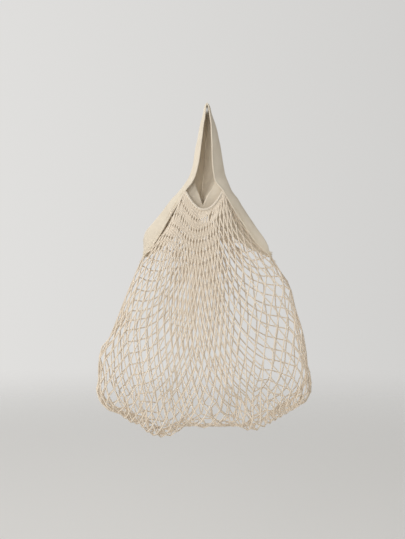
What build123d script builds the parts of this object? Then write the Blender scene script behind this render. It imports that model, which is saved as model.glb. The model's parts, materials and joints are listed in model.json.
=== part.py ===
"""A string shopping bag that hangs loaded from a hook: a diamond net sewn between two rolled hems and
one woven cotton strap.

Millimetres. The origin is the hang point, where the hook touches the inside of the strap's bend. +X is
to the right seen from the front, +Y points away from the viewer and +Z up. The pouch keeps the bulged
shape that its load gives it, and its inside is open.
"""
from build123d import *

import math
import os

# ---- driving dimensions -------------------------------------------------
HOOK_R = 2.5  # inside radius of the strap's bend
STRAP_WIDTH = 44.0
STRAP_THICK = 1.6
FOLD_Z = -112.0  # level where the handle folds against the two side bands
FOLD_X = 24.0  # half the distance between the handle's lower ends
LEG_KNEES = [(6.5, -30.0), (17.5, -96.0)]  # where each leg turns outwards on its way down
HANDLE_TAB = 8.0  # how far the handle reaches below the fold
BAND_TAB = 10.0  # how far the side band reaches above the fold
BAND_KNEE_Z = -124.0  # where the side band turns outwards below the fold
BAND_SHOULDER = (41.0, -141.0)  # where the side band joins the bag's wall
TAB_ROUND = 7.9
LAP_GAP = 0.5  # between the two layers at the fold

CLOTH = 3.0  # wall of the net, its cords and crossings included
MOUTH_TOP = -136.0
NECK_DIP = 24.0  # depth of the hem's curve
NECK_HALF = 27.0
NECK_X = -4.5
HEM_WIDTH = 4.0
EAR_Z = -230.0  # where the side bands end
BAND_TOP_HALF = 31.5  # from the neckline's middle to the band's inner edge at the mouth
BAND_LOW_X = 86.0  # the band's inner edge at the ear
STITCH_WIDTH = 2.5
TACK_HEIGHT = 6.0
TACK_HALF = 8.0
SEAM_HALF = 1.4
SEAM_Y = -3.0  # the plane of the side and bottom seams
BOTTOM_SEAM_X = 78.0  # where the side seams turn under the load

# The loaded pouch's outline: level, left, right, front, back. The load sits lower on the left and stands
# out more on the right, and the back, which rests near a wall, is flatter than the front.
OUTLINE = [
    (MOUTH_TOP, -44, 41, -22, 22),
    (-164, -62, 60, -24, 24),
    (-200, -91, 88, -31, 30),
    (EAR_Z, -96, 97, -39, 38),
    (-268, -112, 122, -51, 45),
    (-314, -129, 132, -61, 50),
    (-360, -149, 143, -66, 52),
    (-407, -161, 151, -67, 52),
    (-442, -155, 143, -63, 50),
    (-470, -125, 119, -50, 42),
    (-488, -86, 84, -28, 26),
]
BOTTOM_Z = OUTLINE[-1][0]
SECTION_POINTS = 16
SECTION_POWER = 2.4  # a little squarer than an ellipse
FAR = 600.0


def section(level, left, right, front, back, inset):
    """A closed rounded outline at one level, moved inwards by the inset."""
    half_x = (right - left) / 2 - inset
    half_y = (back - front) / 2 - inset
    points = []
    for i in range(SECTION_POINTS):
        angle = math.tau * i / SECTION_POINTS
        c, s = math.cos(angle), math.sin(angle)
        x = math.copysign(abs(c) ** (2 / SECTION_POWER), c) * half_x
        y = math.copysign(abs(s) ** (2 / SECTION_POWER), s) * half_y
        points.append(((left + right) / 2 + x, (front + back) / 2 + y, level))
    return Face(Wire(Spline(points, periodic=True)))


def pouch_shell():
    """The whole bag wall, open at the top."""
    outer = loft([section(*row, 0.0) for row in OUTLINE])
    floor_row = (BOTTOM_Z + CLOTH, *OUTLINE[-1][1:])
    inner = loft([section(*row, CLOTH) for row in [*OUTLINE[:-1], floor_row]])
    return outer - inner


def block(x0, x1, y0, y1, z0, z1):
    """A box between two corners."""
    centre = Pos((x0 + x1) / 2, (y0 + y1) / 2, (z0 + z1) / 2)
    return centre * Box(x1 - x0, y1 - y0, z1 - z0)


def neck_cylinder(extra):
    """A cylinder through the bag, front to back, along the curve of the neckline."""
    radius = (NECK_HALF**2 + NECK_DIP**2) / (2 * NECK_DIP)
    centre = Pos(NECK_X, 0, MOUTH_TOP - NECK_DIP + radius)
    return centre * Rot(90, 0, 0) * Cylinder(radius + extra, FAR)


def band_zone(side, widen):
    """The space outside the sloping line where the net meets the side band, on one side."""
    outline = [
        (NECK_X + side * (BAND_TOP_HALF - widen), MOUTH_TOP),
        (side * (BAND_LOW_X - widen), EAR_Z),
        (side * FAR, EAR_Z),
        (side * FAR, MOUTH_TOP),
    ]
    face = Plane.XZ * make_face(Polyline(*outline, close=True))
    return extrude(face, amount=FAR, both=True)


def band_shoulder(side):
    """The side band's upper end: it laps the handle at the fold and slopes out to the bag's wall."""
    lap_x = FOLD_X + STRAP_THICK + LAP_GAP
    route = [(lap_x, FOLD_Z + BAND_TAB), (lap_x, BAND_KNEE_Z), BAND_SHOULDER]
    outline = trace(Polyline(*[(side * x, z) for x, z in route]).edges(), line_width=STRAP_THICK)
    ribbon = extrude(Plane.XZ * outline, amount=STRAP_WIDTH / 2, both=True)
    corners = ribbon.edges().filter_by(Axis.X).sort_by(Axis.Z)[-2:]
    return fillet(corners, TAB_ROUND)


def handle_strap():
    """The handle: one ribbon, over the hook and down both sides to the fold."""
    bend_r = HOOK_R + STRAP_THICK / 2
    centre_z = -HOOK_R
    right = [(FOLD_X, FOLD_Z - HANDLE_TAB), (FOLD_X, FOLD_Z), *LEG_KNEES[::-1], (bend_r, centre_z)]
    left = [(-x, z) for x, z in right]
    bend = ThreePointArc(left[-1], (0, centre_z + bend_r), right[-1])
    lines = [*Polyline(*left).edges(), *bend.edges(), *Polyline(*right).edges()]
    outline = trace(lines, line_width=STRAP_THICK)
    ribbon = extrude(Plane.XZ * outline, amount=STRAP_WIDTH / 2, both=True)
    corners = ribbon.edges().filter_by(Axis.X).sort_by(Axis.Z)[:4]
    return fillet(corners, TAB_ROUND)


def build():
    """Every sub-part, by node name."""
    parts = {"handle_strap": handle_strap()}
    wall = pouch_shell() - neck_cylinder(0) - band_shoulder(-1) - band_shoulder(1)
    hems = wall & neck_cylinder(HEM_WIDTH)
    wall -= neck_cylinder(HEM_WIDTH)
    parts["hem_front"] = hems & block(-FAR, FAR, -FAR, 0, -FAR, 0)
    parts["hem_back"] = hems & block(-FAR, FAR, 0, FAR, -FAR, 0)

    for name, side in (("left", -1), ("right", 1)):
        zone, stitched = band_zone(side, 0), band_zone(side, STITCH_WIDTH)
        parts["side_band_" + name] = (wall & zone) + band_shoulder(side)
        parts["band_stitching_" + name] = (wall & stitched) - zone
        wall -= stitched
        x0, x1 = sorted((side * BAND_LOW_X, side * FAR))
        tack = block(x0, x1, SEAM_Y - TACK_HALF, SEAM_Y + TACK_HALF, EAR_Z - TACK_HEIGHT, EAR_Z)
        parts["ear_tack_" + name] = wall & tack
        wall -= tack

    seam = wall & block(-FAR, FAR, SEAM_Y - SEAM_HALF, SEAM_Y + SEAM_HALF, -FAR, EAR_Z)
    parts["side_seam_left"] = seam & block(-FAR, -BOTTOM_SEAM_X, -FAR, FAR, -FAR, 0)
    parts["side_seam_right"] = seam & block(BOTTOM_SEAM_X, FAR, -FAR, FAR, -FAR, 0)
    parts["bottom_seam"] = seam & block(-BOTTOM_SEAM_X, BOTTOM_SEAM_X, -FAR, FAR, -FAR, 0)
    parts["net_front"] = wall & block(-FAR, FAR, -FAR, SEAM_Y - SEAM_HALF, -FAR, 0)
    parts["net_back"] = wall & block(-FAR, FAR, SEAM_Y + SEAM_HALF, FAR, -FAR, 0)
    return parts


os.makedirs("parts", exist_ok=True)
for node, shape in build().items():
    solids = shape.solids()
    export_step(solids[0] if len(solids) == 1 else Compound(children=list(solids)), f"parts/{node}.step")
    print(node, len(solids), "solids", round(shape.volume), "mm3")
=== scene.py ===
"""Looks for the string shopping bag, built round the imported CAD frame.

The net is relaxed here as cords that can't stretch, sewn to the hems and the strap and hung round a load
that isn't shown. Lengths in the tables are millimetres; every Blender mesh is in metres.
"""
import json
import math

import bpy
import numpy as np
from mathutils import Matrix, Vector, noise

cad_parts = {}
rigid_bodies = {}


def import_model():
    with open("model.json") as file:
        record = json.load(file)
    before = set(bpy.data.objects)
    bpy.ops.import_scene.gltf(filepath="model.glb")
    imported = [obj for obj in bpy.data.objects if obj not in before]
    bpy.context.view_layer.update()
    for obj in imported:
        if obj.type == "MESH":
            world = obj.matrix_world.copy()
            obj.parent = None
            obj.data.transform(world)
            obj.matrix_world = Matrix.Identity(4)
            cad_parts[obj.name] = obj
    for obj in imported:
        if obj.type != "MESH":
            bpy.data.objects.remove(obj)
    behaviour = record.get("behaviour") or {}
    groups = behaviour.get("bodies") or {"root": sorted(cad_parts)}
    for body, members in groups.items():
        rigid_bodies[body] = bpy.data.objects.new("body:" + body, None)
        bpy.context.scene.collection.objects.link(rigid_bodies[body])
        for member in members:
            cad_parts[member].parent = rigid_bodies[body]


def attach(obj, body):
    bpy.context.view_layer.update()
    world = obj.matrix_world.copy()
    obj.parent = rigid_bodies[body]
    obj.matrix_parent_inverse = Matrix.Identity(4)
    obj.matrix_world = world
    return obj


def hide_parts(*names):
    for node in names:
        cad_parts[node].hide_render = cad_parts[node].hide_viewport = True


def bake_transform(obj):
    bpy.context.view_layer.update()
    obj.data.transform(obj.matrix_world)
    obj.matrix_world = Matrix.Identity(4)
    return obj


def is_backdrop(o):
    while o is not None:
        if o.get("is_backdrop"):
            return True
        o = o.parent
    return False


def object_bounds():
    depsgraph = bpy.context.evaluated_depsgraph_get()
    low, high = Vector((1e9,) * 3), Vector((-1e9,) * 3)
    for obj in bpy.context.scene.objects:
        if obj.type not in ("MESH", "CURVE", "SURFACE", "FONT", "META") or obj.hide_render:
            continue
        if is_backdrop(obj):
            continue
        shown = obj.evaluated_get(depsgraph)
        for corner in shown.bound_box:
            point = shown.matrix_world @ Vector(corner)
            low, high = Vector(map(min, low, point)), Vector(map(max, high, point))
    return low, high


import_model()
cad_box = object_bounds()

MM = 0.001
RNG = np.random.default_rng(7)


# ---- curves -----------------------------------------------------------------
def spline(points, per_span):
    """Points on a Catmull-Rom curve through the given points."""
    p = np.asarray(points, float)
    p = np.vstack([2 * p[0] - p[1], p, 2 * p[-1] - p[-2]])
    t = np.linspace(0, 1, per_span, endpoint=False)[:, None]
    spans = []
    for a, b, c, d in zip(p[:-3], p[1:-2], p[2:-1], p[3:]):
        spans.append(0.5 * (2 * b + (c - a) * t + (2 * a - 5 * b + 4 * c - d) * t**2
                            + (3 * b - a - 3 * c + d) * t**3))
    return np.vstack([*spans, p[-2:-1]])


def lengths(points):
    """Distance along a polyline to each of its points."""
    return np.concatenate([[0], np.cumsum(np.linalg.norm(np.diff(points, axis=0), axis=1))])


def along(points, distances):
    """Points at the given distances along a polyline."""
    s = lengths(points)
    return np.stack([np.interp(distances, s, points[:, k]) for k in range(3)], axis=1)


def even(points, count):
    """The polyline again, as evenly spaced points."""
    return along(points, np.linspace(0, lengths(points)[-1], count))


def unit(v):
    """Vectors scaled to length 1."""
    return v / np.maximum(np.linalg.norm(v, axis=-1, keepdims=True), 1e-9)


# ---- the strap's guide lines ------------------------------------------------
# Each station down one side of the strap: its front edge, the fold down its middle, the crease behind
# and its back edge, as x, y, z. Above the last row of the handle the strap hangs edge-on and curls;
# below, it lies folded flat along the bag's shoulder, and the last row is its sewn end.
LEFT = [
    [(-1.6, -13, -4), (-3.6, -4, -3), (-3.4, 6, -3), (-1.6, 15, -4)],
    [(-2.2, -15.5, -14), (-5.4, -5, -14), (-4.8, 8, -14), (-0.6, 18, -14)],
    [(-4.9, -18, -34), (-10.3, -5, -34), (-8.5, 10, -34), (-1.2, 21, -34)],
    [(-8.2, -20, -60), (-15.6, -4, -60), (-13.0, 10, -60), (-3.0, 23, -60)],
    [(-11.8, -20, -86), (-19.8, -4, -86), (-16.5, 10, -87), (-4.8, 24, -88)],
    [(-16.0, -20, -104), (-25.0, -5, -105), (-19.6, 4, -107), (-7.2, 23, -111)],
    [(-22.3, -20, -118), (-32.0, -7, -118), (-17.0, -4, -123), (-8.6, 20, -131)],
    [(-31.5, -19, -130), (-43.0, -6, -132), (-11.0, -6, -140), (-10.5, 16.5, -149)],
    [(-43.0, -17, -150), (-54.5, -4, -144), (-8.2, -2, -160), (-14.0, 19, -168)],
    [(-54.0, -15, -168), (-67.0, -3, -161), (-36.0, 7, -181), (-36.0, 15, -185)],
    [(-65.0, -12, -188), (-80.0, -3, -177), (-58.0, 7, -198), (-54.0, 12, -202)],
    [(-77.0, -9, -207), (-91.0, -3, -190), (-74.0, 4, -210), (-70.0, 8, -216)],
    [(-94.5, -5, -229), (-95.0, -3, -204), (-93.5, -1, -217), (-92.0, 1, -229)],
]
RIGHT = [
    [(1.6, -13, -4), (3.6, -4, -3), (3.4, 6, -3), (1.6, 15.5, -4)],
    [(3.0, -15.5, -14), (6.2, -5, -14), (5.2, 8, -14), (-0.4, 20.5, -14)],
    [(5.3, -19, -34), (12.8, -7, -34), (10.5, 8, -34), (-3.0, 24, -34)],
    [(6.5, -21, -60), (18.8, -7, -60), (15.0, 9, -60), (-5.6, 27, -60)],
    [(7.4, -21, -86), (22.6, -6, -86), (17.5, 9, -87), (-7.8, 28, -88)],
    [(8.9, -21, -104), (26.5, -5, -105), (13.2, 4, -108), (-9.2, 28, -113)],
    [(12.8, -20, -117), (31.5, -6, -118), (8.2, -4, -125), (-12.0, 28, -132)],
    [(22.5, -19, -130), (38.0, -5, -132), (-0.4, -6, -140), (-10.5, 26, -150)],
    [(33.5, -17, -149), (46.5, -3, -143), (-4.2, -2, -160), (5.0, 20, -169)],
    [(45.5, -15, -168), (57.8, -3, -161), (28.0, 7, -181), (27.0, 15, -186)],
    [(58.5, -12, -187), (69.8, -3, -179), (50.0, 7, -199), (46.0, 12, -203)],
    [(73.0, -9, -208), (84.0, -3, -199), (72.0, 4, -212), (68.0, 8, -217)],
    [(95.5, -5, -229), (91.0, -3, -212), (93.0, -1, -220), (94.0, 1, -229)],
]
TOP = [(0, -12, 0.4), (0, -4, 1.2), (0, 5, 1.2), (0, 14, 0.4)]
FRONT_EDGE, BACK_EDGE = 0, 3  # their places in a station
CORNER_ROW = {FRONT_EDGE: 7, BACK_EDGE: 8}  # the stations where the mouth's hems meet the strap
HEM_DROP = {FRONT_EDGE: np.array([0, -4.0, -28.5]), BACK_EDGE: np.array([0, 4.0, -15.0])}  # to its middle
HEM_INSET = 1.5  # where a hem's ends lie, in from the strap's edge
NET_INSET, NET_UNDER = 4.5, 1.5  # the net is sewn this far in from the strap's edges, under the cloth
PER_STATION = 9  # rows of the strap's grid from one station to the next
STRAP_THICK = 1.3
# The thicker woven edge, as distances in from it and half the thickness there.
SELVEDGE = [(0.0, 0.15), (0.3, 0.70), (0.9, 0.98), (1.8, 0.95), (2.8, 0.75), (4.0, 0.65)]
BEND = np.array([-2.4, -1.6, -1.0, -0.5, 0.0, 0.5, 1.0, 1.6, 2.4])  # points across a fold
FLAT_POINTS = 8  # points across each of the three flat stretches between the selvedges and the folds
SECTION_STEPS = 16  # steps for each span of the curve across the strap


def mix(a, b, share):
    """The point at a share of the way from a to b."""
    return a * (1 - share) + b * share


def strap_grid():
    """The strap's middle surface, as rows across it from the left ear over the hook to the right ear."""
    rows = [*LEFT[::-1], TOP, *RIGHT]
    guides = [spline([row[k] for row in rows], PER_STATION) for k in range(4)]
    edge = np.array([d for d, half in SELVEDGE])
    grid = []
    for front, fold, crease, back in zip(*guides):
        outer = 0.45 * front + 0.55 * fold + 0.05 * (fold - crease)
        section = spline([front, outer, fold, mix(fold, crease, 0.15), mix(fold, crease, 0.85), crease,
                          mix(crease, back, 0.15), mix(crease, back, 0.85), back], SECTION_STEPS)
        run = lengths(section)
        at_fold, at_crease = run[2 * SECTION_STEPS], run[5 * SECTION_STEPS]
        spots = [edge]
        for fixed in (at_fold + BEND, at_crease + BEND, run[-1] - edge[::-1]):
            spots += [np.linspace(spots[-1][-1], fixed[0], FLAT_POINTS + 2)[1:-1], fixed]
        grid.append(along(section, np.concatenate(spots)))
    return np.array(grid)


def grid_normals(grid):
    """Unit normals of the strap's grid, on the cloth's outer side."""
    return unit(np.cross(np.gradient(grid, axis=0), np.gradient(grid, axis=1)))


STRAP = strap_grid()
STRAP_NORMALS = grid_normals(STRAP)


def strap_line(side, edge, inset, lift, first_station):
    """A line on the strap, inset from an edge and lifted off its outer face, down to the ear."""
    middle = len(LEFT) * PER_STATION
    first = (first_station + 1) * PER_STATION
    rows = np.arange(middle - first, -1, -1) if side == "left" else np.arange(middle + first, len(STRAP))
    from_edge = slice(None) if edge == FRONT_EDGE else slice(None, None, -1)
    points = []
    for k in rows:
        row, normal = STRAP[k][from_edge], STRAP_NORMALS[k][from_edge]
        spot = [min(inset, lengths(row)[-1] / 3)]
        n = np.array([np.interp(spot, lengths(row), normal[:, i])[0] for i in range(3)])
        points.append(along(row, spot)[0] + n * lift)
    return np.array(points)


def edge_line(side, edge):
    """The line where the net is sewn to the strap, from the mouth's corner down to the ear."""
    return strap_line(side, edge, NET_INSET, -NET_UNDER, CORNER_ROW[edge])


def neckline(edge):
    """The mouth's hem between the strap's two edges, as a slack curve."""
    left = strap_line("left", edge, HEM_INSET, 0, CORNER_ROW[edge])[0]
    right = strap_line("right", edge, HEM_INSET, 0, CORNER_ROW[edge])[0]
    t = np.linspace(-1, 1, 49)[:, None]
    return (left + right) / 2 + (right - left) / 2 * t + HEM_DROP[edge] * (1 - t**2)


# ---- the net ----------------------------------------------------------------
COLUMNS = 28
LEVELS = 24
EAR_LEVEL = 6  # the level whose side meshes reach the ears
BAR = 18.2  # cord between two crossings
CORD_R = 0.97
SHOULDER_COLUMNS = {FRONT_EDGE: 4, BACK_EDGE: 8}  # columns sewn to the strap's edge at each end
CORNER_SPAN = {FRONT_EDGE: 26.0, BACK_EDGE: 42.0}  # how much of that edge they take
BOTTOM_SEAM_Y = 12.0
START_LEFT, START_WIDE, START_DEEP, START_TALL = 4.0, 175.0, 78.0, 512.0  # the net's first shape
ROUNDS, QUICK_ROUNDS = 3000, 800
FALL = 0.10  # mm each round
EVENING, EVENING_EASE = 0.06, 0.7  # each round evens the crossings out, at the end by this much less
SLACK_GIVE = 0.04  # how far a slack cord straightens each round
SEAM_TAUT = 0.93  # the seams' length as a share of the cords beside them
BOTTOM_DRAW = 0.2  # how far the bottom seam moves to its place each round
CLOSEST, PARTING = 3.7, 0.5  # between two crossings side by side, and how far closer ones part each round
CLING, CLING_REACH = 0.02, 30.0  # each round draws the net in to the load from up to this far
CLING_TOP, CLING_FADE = -380.0, 60.0  # but only under this height
WALL_SHARE = 0.84  # the share of the levels that hang before the net turns under the load

# How the front of the net gathers under the mouth: height, then x of the columns in GATHER_COLUMNS.
GATHER_COLUMNS = (0, 4, 10, 16, 21, 28)
GATHER = [
    (-175, -56, -46, -26, -5, 13, 50),
    (-205, -77, -60, -33, -6, 17, 71),
    (-250, -107, -73, -36, -5, 21, 112),
    (-300, -126, -95, -45, -6, 26, 129),
    (-345, -143, -112, -52, -6, 34, 144),
    (-380, -156, -120, -56, -2, 42, 152),
]
GATHER_SHARE = 0.06  # how far each crossing moves to its place each round
GATHER_FADE, GATHER_START = 50.0, 10.0  # the gathers fade out over these heights, below and above

# The load that shapes the net: rounds and long bunches, as two ends and a radius. Nothing of it shows.
LOAD = [
    ((-80, -14, -306), (-80, -14, -306), 38),
    ((-127, -6, -380), (-127, -6, -380), 33),
    ((-128, -8, -424), (-128, -8, -424), 35),
    ((-70, -32, -398), (-70, -32, -398), 33),
    ((-66, -14, -456), (-66, -14, -456), 37),
    ((-98, -10, -440), (-98, -10, -440), 35),
    ((-3, -26, -437), (-3, -26, -437), 40),
    ((84, -12, -290), (84, -12, -290), 42),
    ((24, -8, -290), (24, -8, -290), 34),
    ((-50, -30, -350), (62, -34, -352), 26),
    ((62, -34, -352), (112, -22, -372), 30),
    ((112, -18, -380), (122, -14, -412), 31),
    ((66, -16, -452), (122, -12, -420), 31),
    ((40, -34, -400), (90, -30, -392), 30),
    ((-100, 14, -350), (-40, 16, -330), 34),
    ((-112, 12, -410), (112, 14, -404), 37),
    ((-60, 12, -450), (60, 12, -450), 32),
    ((30, 14, -330), (100, 12, -340), 34),
]


def grid_ids():
    """Node numbers of the two panels, level by level; they share the side and bottom seams."""
    panels, count = {"front": [], "back": []}, 0
    for level in range(LEVELS + 1):
        width = COLUMNS + 1 - level % 2
        front = list(range(count, count + width))
        count += width
        if level == LEVELS:
            back = list(front)
        else:
            back = list(range(count, count + width))
            count += width
            if level % 2 == 0 and level >= EAR_LEVEL:
                back[0], back[-1] = front[0], front[-1]
        panels["front"].append(front)
        panels["back"].append(back)
    return panels, count


def bars_of(rows):
    """Pairs of node numbers, in four groups in which no node comes twice."""
    groups = [[], [], [], []]
    for level in range(LEVELS):
        odd = level % 2
        for i, node in enumerate(rows[level]):
            left, right = (i, i + 1) if odd else (i - 1, i)
            below = rows[level + 1]
            if 0 <= left < len(below):
                groups[2 * odd].append((node, below[left]))
            if 0 <= right < len(below):
                groups[2 * odd + 1].append((node, below[right]))
    return [np.array(g) for g in groups]


def neighbours(groups, count):
    """The nodes with four cords, and for each the nodes at their other ends."""
    touching = [[] for _ in range(count)]
    for pairs in groups:
        for a, b in pairs:
            touching[a].append(b)
            touching[b].append(a)
    inner = np.array([k for k, others in enumerate(touching) if len(others) == 4])
    return inner, np.array([touching[k] for k in inner])


def at_columns(columns, row):
    """Points of a row of nodes at column numbers that may fall between its nodes."""
    return np.stack([np.interp(columns, np.arange(len(row)), row[:, k]) for k in range(3)], 1)


def top_pins(edge):
    """Where one panel's top row and its side meshes above the ears are sewn."""
    hem = neckline(edge)
    lines = {side: edge_line(side, edge) for side in ("left", "right")}
    count = SHOULDER_COLUMNS[edge]
    shoulder = np.arange(count, 0, -1) * CORNER_SPAN[edge] / count
    inner = even(hem, COLUMNS - 2 * count + 1)
    row = np.vstack([along(lines["left"], shoulder), inner, along(lines["right"], shoulder[::-1])])
    sides = {}
    for name, line in lines.items():
        total = lengths(line)[-1]
        spots = np.linspace(CORNER_SPAN[edge], total, EAR_LEVEL // 2 + 1)[1:]
        sides[name] = along(line, spots)
    return row, sides


def first_shape(panels, count):
    """The net before it is relaxed, as a tube from the sewn edges down, and which nodes are sewn fast."""
    x = np.zeros((count, 3))
    pinned = np.zeros(count, bool)
    for name, edge, sign in (("back", BACK_EDGE, 1), ("front", FRONT_EDGE, -1)):
        rows = panels[name]
        top, sides = top_pins(edge)
        for level, ids in enumerate(rows):
            share = level / LEVELS
            u = (np.arange(len(ids)) + 0.5 * (level % 2)) / COLUMNS
            start = at_columns(u * COLUMNS, top)
            wall = min(share / WALL_SHARE, 1.0)
            under = max(0.0, (share - WALL_SHARE) / (1 - WALL_SHARE))
            spread = min(1.0, wall * 1.6)
            bulge = sign * START_DEEP * np.sin(math.pi * u) ** 0.6
            across = START_LEFT + START_WIDE * np.cos(math.pi * u)
            x[ids, 0] = start[:, 0] * (1 - spread) - across * spread
            x[ids, 1] = start[:, 1] * (1 - wall) + bulge * wall**0.7 * (1 - under)
            x[ids, 2] = start[:, 2] * (1 - wall) - START_TALL * wall
        x[rows[0]] = top
        pinned[rows[0]] = True
        for k, level in enumerate(range(2, EAR_LEVEL + 1, 2)):
            x[rows[level][0]] = sides["left"][k]
            x[rows[level][-1]] = sides["right"][k]
            pinned[[rows[level][0], rows[level][-1]]] = True
    return x, pinned


def load_capsules():
    """The load as the capsules' first ends, their axes, the axes' squared lengths and their radii."""
    first = np.array([a for a, b, r in LOAD], float)
    axis = np.array([b for a, b, r in LOAD], float) - first
    radius = np.array([r for a, b, r in LOAD], float) + CORD_R
    return first, axis, np.maximum((axis**2).sum(1), 1e-6), radius


def push_out(x, capsules, free):
    """Move nodes out of the capsule that they are deepest in, and draw low ones in under the load."""
    first, axis, axis_sq, radius = capsules
    rel = x[:, None, :] - first[None]
    t = np.clip((rel * axis[None]).sum(2) / axis_sq[None], 0, 1)
    gap = rel - t[:, :, None] * axis[None]
    dist = np.linalg.norm(gap, axis=2)
    deep = radius[None] - dist
    every = np.arange(len(x))
    worst = deep.argmax(1)
    amount = deep[every, worst]
    cling = np.clip((CLING_TOP - x[:, 2]) / CLING_FADE, 0, 1) * CLING
    amount = np.where(amount > 0, amount, np.maximum(amount, -CLING_REACH) * cling) * free
    x += gap[every, worst] / dist[every, worst][:, None] * amount[:, None]


def pull(x, free, pairs, rest, give, share=1.0):
    """Bring pairs of nodes to a length: by the share if too far apart, and by the give if too near."""
    a, b = pairs[:, 0], pairs[:, 1]
    d = x[b] - x[a]
    dist = np.maximum(np.linalg.norm(d, axis=1), 1e-6)
    weight = np.maximum(free[a] + free[b], 1e-9)
    stiff = np.where(dist > rest, share, give)
    push = (stiff * (dist - rest) / (dist * weight))[:, None] * d
    x[a] += push * free[a][:, None]
    x[b] -= push * free[b][:, None]


class Gathers:
    """Draws the front of the net together sideways, as GATHER says."""

    def __init__(self, rows):
        rows = rows[1:-1]
        self.ids = np.concatenate(rows)
        self.each = np.arange(len(self.ids))
        column = np.concatenate([np.arange(len(ids)) + 0.5 * (len(ids) == COLUMNS) for ids in rows])
        table = np.array(GATHER[::-1], float)
        self.heights = table[:, 0]
        self.wanted = np.stack([np.interp(column, GATHER_COLUMNS, row[1:]) for row in table])

    def draw(self, x, free):
        """Move each node sideways by part of its way to where it should be at its height."""
        low, high = self.heights[0], self.heights[-1]
        z = x[self.ids, 2]
        inside = np.clip(z, low, high)
        row = np.clip(np.searchsorted(self.heights, inside) - 1, 0, len(self.heights) - 2)
        t = (inside - self.heights[row]) / (self.heights[row + 1] - self.heights[row])
        target = self.wanted[row, self.each] * (1 - t) + self.wanted[row + 1, self.each] * t
        fade = np.clip((z - low) / GATHER_FADE, 0, 1) * np.clip((high - z) / GATHER_START + 1, 0, 1)
        x[self.ids, 0] += GATHER_SHARE * fade * free[self.ids] * (target - x[self.ids, 0])


def relax():
    """The net's node positions in millimetres, with its panels' node numbers."""
    panels, count = grid_ids()
    x, pinned = first_shape(panels, count)
    free = (~pinned).astype(float)
    bars = bars_of(panels["front"]) + bars_of(panels["back"])
    beside = [[list(zip(ids[k:-1:2], ids[k + 1::2])) for rows in panels.values() for ids in rows]
              for k in (0, 1)]
    beside = [np.vstack(pairs) for pairs in beside]
    seams = [np.array([(panels["front"][k][end], panels["front"][k + 2][end])
                       for k in range(first, LEVELS - 1, 4)])
             for end in (0, -1) for first in (EAR_LEVEL, EAR_LEVEL + 2)]
    inner, around = neighbours(bars, count)
    free_inner = free[inner][:, None]
    bottom = np.array(panels["front"][LEVELS])
    gathers = Gathers(panels["front"])
    capsules = load_capsules()

    rounds = ROUNDS
    for step in range(rounds):
        late = step / rounds
        x[:, 2] -= FALL * free * (1 - late)
        x[inner] += EVENING * (1 - EVENING_EASE * late) * free_inner * (x[around].mean(1) - x[inner])
        gathers.draw(x, free)
        for pairs in bars:
            pull(x, free, pairs, BAR, SLACK_GIVE)
        for pairs in seams:
            pull(x, free, pairs, 2 * BAR * SEAM_TAUT, 0.0)
        for pairs in beside:
            pull(x, free, pairs, CLOSEST, PARTING, 0.0)
        push_out(x, capsules, free)
        x[bottom, 1] += BOTTOM_DRAW * (BOTTOM_SEAM_Y - x[bottom, 1])
    return x, panels


# ---- meshes -----------------------------------------------------------------
def new_object(name, verts, faces, uvs=None):
    """A smooth mesh object, from points in millimetres and one (u, v) for each face corner."""
    mesh = bpy.data.meshes.new(name)
    mesh.from_pydata((np.asarray(verts, float) * MM).tolist(), [], faces)
    if uvs is not None:
        layer = mesh.uv_layers.new(name="UVMap")
        layer.data.foreach_set("uv", np.asarray(uvs, np.float32).ravel())
    mesh.polygons.foreach_set("use_smooth", np.ones(len(mesh.polygons), bool))
    mesh.update()
    obj = bpy.data.objects.new(name, mesh)
    bpy.context.scene.collection.objects.link(obj)
    return obj


def frames(tangent, normal=None):
    """Two directions across each point of a path, from a normal or turning as little as they can."""
    if normal is not None:
        up = np.broadcast_to(np.asarray(normal, float), tangent.shape)
        up = unit(up - (up * tangent).sum(1, keepdims=True) * tangent)
        return np.cross(up, tangent), up
    side = np.empty_like(tangent)
    current = np.array([0.0, 1.0, 0.0]) if abs(tangent[0][1]) < 0.9 else np.array([1.0, 0.0, 0.0])
    for k, t in enumerate(tangent):
        current = current - current.dot(t) * t
        current /= max(np.linalg.norm(current), 1e-9)
        side[k] = current
    return side, np.cross(tangent, side)


class Tubes:
    """Collects closed tubes into one mesh."""

    def __init__(self):
        self.verts, self.faces, self.uvs, self.count = [], [], [], 0

    def add(self, path, radii, sides=8, flat=1.0, normal=None):
        """A tube along a path, flattened along the normal. UV: turns round it and metres along it."""
        path = np.asarray(path, float)
        n = len(path)
        radii = np.broadcast_to(np.asarray(radii, float), (n,))
        side, up = frames(unit(np.gradient(path, axis=0)), normal)
        angle = (np.arange(sides) * math.tau / sides)[None, :, None]
        ring = np.cos(angle) * side[:, None] + flat * np.sin(angle) * up[:, None]
        i, j = np.meshgrid(np.arange(n - 1), np.arange(sides), indexing="ij")
        k = (j + 1) % sides
        quads = np.stack([i * sides + j, i * sides + k, (i + 1) * sides + k, (i + 1) * sides + j], -1)
        s = lengths(path) * MM
        u0, u1 = j / sides, (j + 1) / sides
        uv = np.stack([np.stack([u0, s[i]], -1), np.stack([u1, s[i]], -1),
                       np.stack([u1, s[i + 1]], -1), np.stack([u0, s[i + 1]], -1)], 2)
        self.verts.append((path[:, None] + ring * radii[:, None, None]).reshape(-1, 3))
        self.faces += (quads.reshape(-1, 4) + self.count).tolist()
        self.uvs.append(uv.reshape(-1, 2))
        for first, order in ((0, -1), (n - 1, 1)):
            self.faces.append((self.count + first * sides + np.arange(sides))[::order].tolist())
            self.uvs.append(np.tile([0.5, s[first]], (sides, 1)))
        self.count += n * sides

    def build(self, name):
        """The tubes as one object."""
        return new_object(name, np.vstack(self.verts), self.faces, np.vstack(self.uvs))


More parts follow.
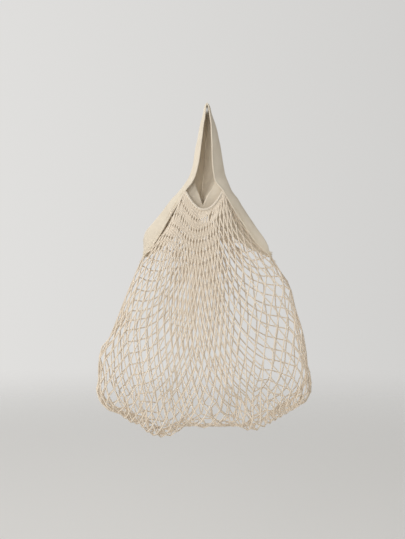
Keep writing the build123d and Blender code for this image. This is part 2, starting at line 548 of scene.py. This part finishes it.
def wound(path, radius, pitch, phase, per_turn=10):
    """A helix of the given radius and pitch round a path."""
    total = lengths(path)[-1]
    count = max(int(total / pitch * per_turn), 12)
    core = even(path, count)
    side, up = frames(unit(np.gradient(core, axis=0)))
    angle = np.linspace(0, total / pitch * math.tau, count)[:, None] + phase
    return core + radius * (np.cos(angle) * side + np.sin(angle) * up)


STITCH, STITCH_PITCH = 2.4, 3.4  # a stitch's length, and from one to the next


def stitch_row(tubes, line, normals, radius):
    """Small stitches along a line, each a thread that dips into the cloth at both ends."""
    s = lengths(line)
    for middle in np.arange(STITCH_PITCH / 2, s[-1] - STITCH / 2, STITCH_PITCH):
        spots = np.clip(middle + STITCH * np.array([-0.5, -0.3, 0, 0.3, 0.5]), 0, s[-1])
        n = unit(np.stack([np.interp(spots, s, normals[:, i]) for i in range(3)], 1))
        lift = radius * np.array([-1.2, 0.5, 0.9, 0.5, -1.2])[:, None]
        tubes.add(along(line, spots) + n * lift, radius, sides=6)


# ---- net meshes -------------------------------------------------------------
CORD_SIDES = 8
THINNEST = 0.82  # the cords' least thickness, as a share, where they are squeezed under the hems
DRAWN, OPEN = 4.2, 8.5  # between crossings side by side, where the net is drawn together and where open
CROSS_REACH, DRAWN_REACH = 2.6, 0.7  # how far from a crossing its cords part, and how much more if drawn
CROSS_SIDE = 0.5  # how far each cord moves aside where the net is drawn together
CROSS_LIFT = 0.72  # how far each cord leans out to pass over or under the other


def crossings(net, rows):
    """Each crossing's directions out and sideways, and how drawn together and squeezed the net is there."""
    out, sideways, slack, squeeze = {}, {}, {}, {}
    for level, ids in enumerate(rows):
        share = (np.arange(len(ids)) + 0.5 * (level % 2)) / COLUMNS

        def at_share(other):
            """Points of another row at the same shares of the width."""
            other_share = (np.arange(len(other)) + 0.5 * (len(other) == COLUMNS)) / COLUMNS
            return np.stack([np.interp(share, other_share, net[other][:, k]) for k in range(3)], 1)

        down = at_share(rows[min(level + 1, LEVELS)]) - at_share(rows[max(level - 1, 0)])
        step = np.gradient(net[ids], axis=0)
        out.update(zip(ids, unit(np.cross(step, down))))
        pitch = np.linalg.norm(step, axis=1)
        sideways.update(zip(ids, unit(step)))
        slack.update(zip(ids, np.clip((OPEN - pitch) / (OPEN - DRAWN), 0, 1)))
        squeeze.update(zip(ids, np.clip(pitch / (4 * CORD_R), THINNEST, 1)))
    return out, sideways, slack, squeeze


def chains(rows):
    """Each cord of a panel as the crossings it passes, and +1 or -1 for the way that it leans."""
    for lean in (1, -1):
        edge = 0 if lean == 1 else COLUMNS
        starts = [(0, i) for i in range(COLUMNS + 1)] + [(level, edge) for level in range(2, LEVELS, 2)]
        for level, i in starts:
            chain = [rows[level][i]]
            while level < LEVELS:
                i += (level % 2 == 1) if lean == 1 else -(level % 2 == 0)
                level += 1
                if not 0 <= i < len(rows[level]):
                    break
                chain.append(rows[level][i])
            if len(chain) > 1:
                yield chain, lean


def net_panel(name, net, rows):
    """One side of the bag as separate cords, each over one cord that it meets and under the next."""
    out, sideways, slack, squeeze = crossings(net, rows)
    level_of = {node: level for level, ids in enumerate(rows) for node in ids}
    tubes = Tubes()
    for chain, lean in chains(rows):
        nodes = net[chain]
        tangent = unit(np.gradient(nodes, axis=0))
        points, thickness = [], []
        for k, node in enumerate(chain):
            over = lean * (1 if level_of[node] % 2 else -1)
            aside = sideways[node] * lean * CROSS_SIDE * slack[node]
            reach = tangent[k] * (CROSS_REACH + DRAWN_REACH * slack[node])
            if k > 0:
                points.append(nodes[k] - reach - aside)
            points.append(nodes[k] + out[node] * CROSS_LIFT * over)
            if k < len(chain) - 1:
                points.append(nodes[k] + reach + aside)
            thickness += [CORD_R * squeeze[node]] * (len(points) - len(thickness))
        path = spline(points, 2)
        radii = np.interp(np.arange(len(path)) / 2, np.arange(len(thickness)), thickness)
        tubes.add(path, radii, CORD_SIDES)
    return tubes.build(name)


# ---- the strap's mesh -------------------------------------------------------
RUMPLE = 0.7  # height of the broad bumps
FINE_RUMPLE = 0.3  # height of the fine ones, as a share


def rumpled(grid, normals):
    """The strap's surface with the slight unevenness of washed cotton."""
    bumps = np.empty(grid.shape[:2])
    for i, row in enumerate(grid):
        for j, p in enumerate(row):
            broad, fine = noise.noise(Vector(p / 21)), noise.noise(Vector(p / 7))
            bumps[i, j] = broad * RUMPLE + fine * RUMPLE * FINE_RUMPLE
    return grid + normals * bumps[..., None]


def strap_mesh(name):
    """The strap as a closed cloth with thicker woven edges. UV: metres across and along."""
    grid = rumpled(STRAP, STRAP_NORMALS)
    n, m = grid.shape[:2]
    half = np.full(m, STRAP_THICK / 2)
    profile = np.array([h for d, h in SELVEDGE])
    half[:len(profile)], half[-len(profile):] = profile, profile[::-1]
    offset = STRAP_NORMALS * half[None, :, None]
    verts = np.vstack([(grid + offset).reshape(-1, 3), (grid - offset).reshape(-1, 3)])
    run = np.repeat(lengths(STRAP[:, m // 2])[:, None], m, 1)
    width = np.array([lengths(row) for row in STRAP])
    uv_of = np.tile(np.stack([width, run], -1).reshape(-1, 2) * MM, (2, 1))
    i, j = np.meshgrid(np.arange(n - 1), np.arange(m - 1), indexing="ij")
    a = (i * m + j).ravel()
    quads = np.stack([a, a + m, a + m + 1, a + 1], -1)
    rim = np.concatenate([np.arange(m), m * np.arange(1, n) + m - 1,
                          m * (n - 1) + np.arange(m - 2, -1, -1), m * np.arange(n - 2, 0, -1)])
    following = np.roll(rim, -1)
    edge = np.stack([rim, following, following + n * m, rim + n * m], -1)
    faces = np.vstack([quads, quads[:, ::-1] + n * m, edge])
    return new_object(name, verts, faces.tolist(), uv_of[faces.ravel()])


# ---- materials --------------------------------------------------------------
class Cloth:
    """A matt material, downy unless its sheen is 0, built node by node."""

    def __init__(self, name, colour, roughness=0.92, sheen=0.2):
        self.material = bpy.data.materials.new(name)
        self.material.use_nodes = True
        self.nodes, self.links = self.material.node_tree.nodes, self.material.node_tree.links
        self.shader = self.nodes["Principled BSDF"]
        self.shader.inputs["Base Color"].default_value = (*colour, 1)
        self.shader.inputs["Roughness"].default_value = roughness
        self.shader.inputs["Specular IOR Level"].default_value = 0.15
        self.shader.inputs["Sheen Weight"].default_value = sheen
        self.shader.inputs["Sheen Roughness"].default_value = 0.5
        self.shader.inputs["Sheen Tint"].default_value = (1.0, 0.93, 0.82, 1)

    def math(self, operation, *values):
        """The output of a math node fed with sockets or numbers."""
        node = self.nodes.new("ShaderNodeMath")
        node.operation = operation
        for socket, value in zip(node.inputs, values):
            if isinstance(value, bpy.types.NodeSocket):
                self.links.new(value, socket)
            else:
                socket.default_value = value
        return node.outputs[0]

    def uv(self):
        """The two UV coordinates."""
        coords = self.nodes.new("ShaderNodeTexCoord")
        split = self.nodes.new("ShaderNodeSeparateXYZ")
        self.links.new(coords.outputs["UV"], split.inputs[0])
        return split.outputs[0], split.outputs[1]

    def noise(self, scale, detail=2.0):
        """Noise fixed to the object, from 0 to 1."""
        coords = self.nodes.new("ShaderNodeTexCoord")
        node = self.nodes.new("ShaderNodeTexNoise")
        node.inputs["Scale"].default_value = scale
        node.inputs["Detail"].default_value = detail
        self.links.new(coords.outputs["Object"], node.inputs["Vector"])
        return node.outputs["Fac"]

    def colour(self, factor, dark, light):
        """Colour the cloth between dark and light by a factor."""
        ramp = self.nodes.new("ShaderNodeValToRGB")
        ramp.color_ramp.elements[0].color = (*dark, 1)
        ramp.color_ramp.elements[1].color = (*light, 1)
        self.links.new(factor, ramp.inputs["Fac"])
        self.links.new(ramp.outputs["Color"], self.shader.inputs["Base Color"])

    def bump(self, height, distance):
        """Raise the surface by up to the distance, in metres."""
        node = self.nodes.new("ShaderNodeBump")
        node.inputs["Distance"].default_value = distance
        node.inputs["Strength"].default_value = 1.0
        self.links.new(height, node.inputs["Height"])
        self.links.new(node.outputs["Normal"], self.shader.inputs["Normal"])


def twisted(name, dark, light, plies=3, pitch=0.0045, depth=0.00025):
    """Plied yarn: ridges that wind round the cord, with painted shade in the grooves between them, loose
    fibres and uneven colour.
    """
    cloth = Cloth(name, light)
    around, run = cloth.uv()
    angle = cloth.math("ADD", cloth.math("MULTIPLY", around, math.tau * plies),
                       cloth.math("MULTIPLY", run, math.tau / pitch))
    ridge = cloth.math("MULTIPLY_ADD", cloth.math("SINE", angle), 0.5, 0.5)
    fibre = cloth.noise(900, 3.0)
    blotch = cloth.noise(26, 2.0)
    # The colour is darker in the grooves between the plies, where the ridge is low: painted shade. The
    # blotches are uneven colour.
    painted_shade_and_blotch = cloth.math("MULTIPLY_ADD", ridge, 0.45, cloth.math("MULTIPLY_ADD", blotch, 0.55, 0.0))
    painted_shade_and_blotch = cloth.math("MULTIPLY_ADD", painted_shade_and_blotch, 0.95, -0.02)
    cloth.colour(cloth.math("MULTIPLY_ADD", fibre, 0.20, painted_shade_and_blotch), dark, light)
    cloth.bump(cloth.math("MULTIPLY_ADD", fibre, 0.35, ridge), depth)
    return cloth.material


def woven(name, dark, light, thread=0.00085, depth=0.00022, girth=1.0):
    """Plain weave, with painted shade where the threads dip, slubs and uneven colour. girth is the metres
    across it for one unit of U.
    """
    cloth = Cloth(name, light)
    across, run = cloth.uv()
    wobble = cloth.math("MULTIPLY_ADD", cloth.noise(120, 2.0), 0.0008, -0.0004)
    across = cloth.math("MULTIPLY_ADD", across, girth, wobble)
    run = cloth.math("ADD", run, wobble)
    warp = cloth.math("SINE", cloth.math("MULTIPLY", across, math.pi / thread))
    weft = cloth.math("SINE", cloth.math("MULTIPLY", run, math.pi / thread))
    weave = cloth.math("MULTIPLY_ADD", cloth.math("MULTIPLY", warp, weft), 0.5, 0.5)
    fibre = cloth.noise(1500, 3.0)
    blotch = cloth.noise(38, 3.0)
    # The colour is darker where the weave dips between threads: painted shade. The blotches are uneven
    # colour.
    painted_shade_and_blotch = cloth.math("MULTIPLY_ADD", weave, 0.35, cloth.math("MULTIPLY_ADD", blotch, 0.60, 0.02))
    cloth.colour(cloth.math("MULTIPLY_ADD", fibre, 0.15, painted_shade_and_blotch), dark, light)
    cloth.bump(cloth.math("MULTIPLY_ADD", fibre, 0.3, weave), depth)
    return cloth.material


# ---- pieces -----------------------------------------------------------------
CORD_DARK, CORD_LIGHT = (0.68, 0.57, 0.44), (0.92, 0.825, 0.70)
STRAP_DARK, STRAP_LIGHT = (0.63, 0.54, 0.42), (0.84, 0.765, 0.64)
HEM_DARK, HEM_LIGHT = (0.70, 0.60, 0.48), (0.90, 0.82, 0.70)
THREAD_DARK, THREAD_LIGHT = (0.62, 0.52, 0.38), (0.90, 0.82, 0.67)
HEM_THREAD = 0.0007
HEM_GIRTH = 14 * HEM_THREAD  # an even number of threads go round, so the weave has no join
net_cotton = twisted("net_cotton", CORD_DARK, CORD_LIGHT)
seam_cotton = twisted("seam_cotton", CORD_DARK, CORD_LIGHT, plies=2, pitch=0.003)
thread_cotton = twisted("thread_cotton", THREAD_DARK, THREAD_LIGHT, plies=2, pitch=0.0014, depth=0.0001)
strap_cotton = woven("strap_cotton", STRAP_DARK, STRAP_LIGHT)
hem_cotton = woven("hem_cotton", HEM_DARK, HEM_LIGHT, thread=HEM_THREAD, girth=HEM_GIRTH)


def finish(obj, material, body, slot, *nodes):
    """Give a piece its material, attach it to what it rides on, if anything, and hide the CAD parts that it
    stands for.
    """
    obj.data.materials.append(material)
    if body:
        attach(obj, body)
    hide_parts(*nodes)


net, panels = relax()
for name, rows in panels.items():
    finish(net_panel("net_cords_" + name, net, rows), net_cotton, "pouch", "net_cord", "net_" + name)

strap = strap_mesh("strap")
finish(strap, strap_cotton, None, "woven_strap", "handle_strap", "side_band_left", "side_band_right")
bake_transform(strap)

# The mouth's rolled hems, each with a row of stitches. Their ends dive under the strap.
HEM_R, HEM_FLAT, HEM_PROUD, HEM_SINK = 1.7, 0.85, 1.3, 3.2
HEM_POINTS = 110
for name, edge, facing in (("front", FRONT_EDGE, -1), ("back", BACK_EDGE, 1)):
    outward = np.array([0.0, facing, 0.0])
    tuck = np.linspace(-1, 1, HEM_POINTS)[:, None] ** 10
    line = even(neckline(edge), HEM_POINTS) + outward * (HEM_PROUD - HEM_SINK * tuck)
    swell = 1 + 0.06 * np.sin(np.arange(len(line)) * 0.9) * np.sin(np.arange(len(line)) * 0.37)
    tubes = Tubes()
    tubes.add(line, HEM_R * swell, sides=14, flat=HEM_FLAT, normal=outward)
    normals = np.broadcast_to(outward, line.shape)
    stitch_row(tubes, line + outward * HEM_R * HEM_FLAT * 0.95, normals, 0.33)
    finish(tubes.build("rolled_hem_" + name), hem_cotton, "pouch", "rolled_hem", "hem_" + name)

# Whipped seams down the sides and along the bottom.
SEAM_R, WHIP_R, WHIP_PITCH = 0.8, 0.36, 3.2


def seam(name, ids, node):
    """A cord along a row of the net's nodes, with two threads wound round it."""
    path = even(spline(net[ids], 6), 6 * len(ids))
    tubes = Tubes()
    tubes.add(path, SEAM_R, sides=8)
    for phase in (0.0, math.pi):
        tubes.add(wound(path, SEAM_R + 0.15, WHIP_PITCH, phase), WHIP_R, sides=6)
    finish(tubes.build(name), seam_cotton, "pouch", "seam_cord", node)


front = panels["front"]
for side, end in (("left", 0), ("right", -1)):
    down = [front[k][end] for k in range(EAR_LEVEL, LEVELS + 1, 2)]
    seam("whipped_seam_" + side, down, "side_seam_" + side)
seam("whipped_seam_bottom", front[LEVELS], "bottom_seam")

# The stitches that hold the strap to the net, along both its edges.
for side in ("left", "right"):
    tubes = Tubes()
    for edge in (FRONT_EDGE, BACK_EDGE):
        for inset in (1.9, 4.4):
            line = strap_line(side, edge, inset, STRAP_THICK / 2 + 0.1, CORNER_ROW[edge])
            base = strap_line(side, edge, inset, 0, CORNER_ROW[edge])
            stitch_row(tubes, line, unit(line - base), 0.27)
    stitches = tubes.build("strap_stitches_" + side)
    finish(stitches, thread_cotton, "pouch", "sewing_thread", "band_stitching_" + side)

# The tacks at the ears: thread wound close together round the strap's end, with its tails left on.
TACK_TURNS, TACK_STEP, TACK_R = 8, 1.0, 0.42
TAILS, TAIL_R = 4, 0.33
for side, row, sign in (("left", LEFT[-1], -1), ("right", RIGHT[-1], 1)):
    foot = (np.array(row[FRONT_EDGE], float) + np.array(row[BACK_EDGE], float)) / 2
    tubes = Tubes()
    angle = np.linspace(0, math.tau, 25)[:, None]
    for k in range(TACK_TURNS):
        middle = foot + [0, 0, 1.5 + k * TACK_STEP]
        tilt = 1.2 * RNG.uniform(-1, 1)
        turn = middle + np.cos(angle) * [2.7, 0, tilt] + np.sin(angle) * [0, 5.0 - 0.2 * k, 0]
        tubes.add(turn, TACK_R, sides=6)
    for k in range(TAILS):
        start = foot + [0.6 * (k - 1.5), RNG.uniform(-2, 1), 1.0]
        away = np.array([sign * RNG.uniform(0.1, 0.7), RNG.uniform(-0.5, 0.1), -1.0])
        curl = np.array([sign * RNG.uniform(-0.4, 0.8), RNG.uniform(-0.3, 0.3), 0.2])
        tail = [start + away * d + curl * d * d / 9 for d in (0, 2.5, 5, RNG.uniform(6.5, 8.5))]
        tubes.add(spline(tail, 4), TAIL_R, sides=6)
    tack = tubes.build("ear_tack_thread_" + side)
    finish(tack, thread_cotton, "pouch", "sewing_thread", "ear_tack_" + side)


# ---- stage, camera and light ------------------------------------------------
FLOOR_R, FLOOR_SIDES = 5.0, 96
FLOOR_Z = cad_box[0][2] - 0.45
ROOM_COLOUR = (1.0, 0.99, 0.97, 1)
LOOK_AT = (0, 0, -0.25)


def floor_disc():
    """A pale round floor that fades out far from the bag."""
    verts = [(0, 0, FLOOR_Z)]
    for angle in np.linspace(0, math.tau, FLOOR_SIDES, endpoint=False):
        verts.append((FLOOR_R * math.cos(angle), FLOOR_R * math.sin(angle), FLOOR_Z))
    faces = [(0, 1 + k, 1 + (k + 1) % FLOOR_SIDES) for k in range(FLOOR_SIDES)]
    floor = new_object("floor", np.array(verts) / MM, faces)
    paint = Cloth("floor_paint", (0.80, 0.79, 0.77), 0.95, 0.0)
    coords = paint.nodes.new("ShaderNodeTexCoord")
    distance = paint.nodes.new("ShaderNodeVectorMath")
    distance.operation = "LENGTH"
    paint.links.new(coords.outputs["Object"], distance.inputs[0])
    fade = paint.nodes.new("ShaderNodeMapRange")
    fade.interpolation_type = "SMOOTHSTEP"
    fade.inputs["From Min"].default_value = FLOOR_R
    fade.inputs["From Max"].default_value = 0.25 * FLOOR_R
    paint.links.new(distance.outputs["Value"], fade.inputs["Value"])
    paint.links.new(fade.outputs["Result"], paint.shader.inputs["Alpha"])
    floor.data.materials.append(paint.material)
    floor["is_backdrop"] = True


def room_light(middle, slope):
    """Light from all round, which changes evenly from one side of the room to the other."""
    world = bpy.data.worlds.new("room")
    world.use_nodes = True
    nodes, links = world.node_tree.nodes, world.node_tree.links
    background = nodes["Background"]
    background.inputs["Color"].default_value = ROOM_COLOUR
    coords = nodes.new("ShaderNodeTexCoord")
    along_slope = nodes.new("ShaderNodeVectorMath")
    along_slope.operation = "DOT_PRODUCT"
    along_slope.inputs[1].default_value = slope
    links.new(coords.outputs["Generated"], along_slope.inputs[0])
    total = nodes.new("ShaderNodeMath")
    total.inputs[1].default_value = middle
    links.new(along_slope.outputs["Value"], total.inputs[0])
    links.new(total.outputs[0], background.inputs["Strength"])
    bpy.context.scene.world = world


def area_light(name, place, size, power):
    """A round soft light that points at the bag."""
    data = bpy.data.lights.new(name, "AREA")
    data.shape = "DISK"
    data.size = size
    data.energy = power
    obj = bpy.data.objects.new(name, data)
    obj.location = place
    obj.rotation_euler = (Vector(LOOK_AT) - Vector(place)).to_track_quat("-Z", "Y").to_euler()
    bpy.context.scene.collection.objects.link(obj)


floor_disc()
room_light(middle=0.56, slope=(-0.22, 0.14, 0.0))

scene = bpy.context.scene
camera_data = bpy.data.cameras.new("camera")
camera_data.sensor_width = 36
camera_data.lens = 57
camera = bpy.data.objects.new("camera", camera_data)
camera.location = (-0.0068, -1.28, -0.2468)
camera.rotation_euler = (math.pi / 2, 0, 0)
scene.collection.objects.link(camera)
scene.camera = camera
scene.view_settings.view_transform = "Standard"

area_light("window", (-1.5, -1.35, 0.7), size=1.1, power=15)
area_light("front_light", (-0.5, -2.1, 0.25), size=1.0, power=12)
area_light("back_light", (-0.9, 1.7, 1.3), size=1.2, power=9)

[[list(map(float, corner)) for corner in box] for box in (cad_box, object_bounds())]
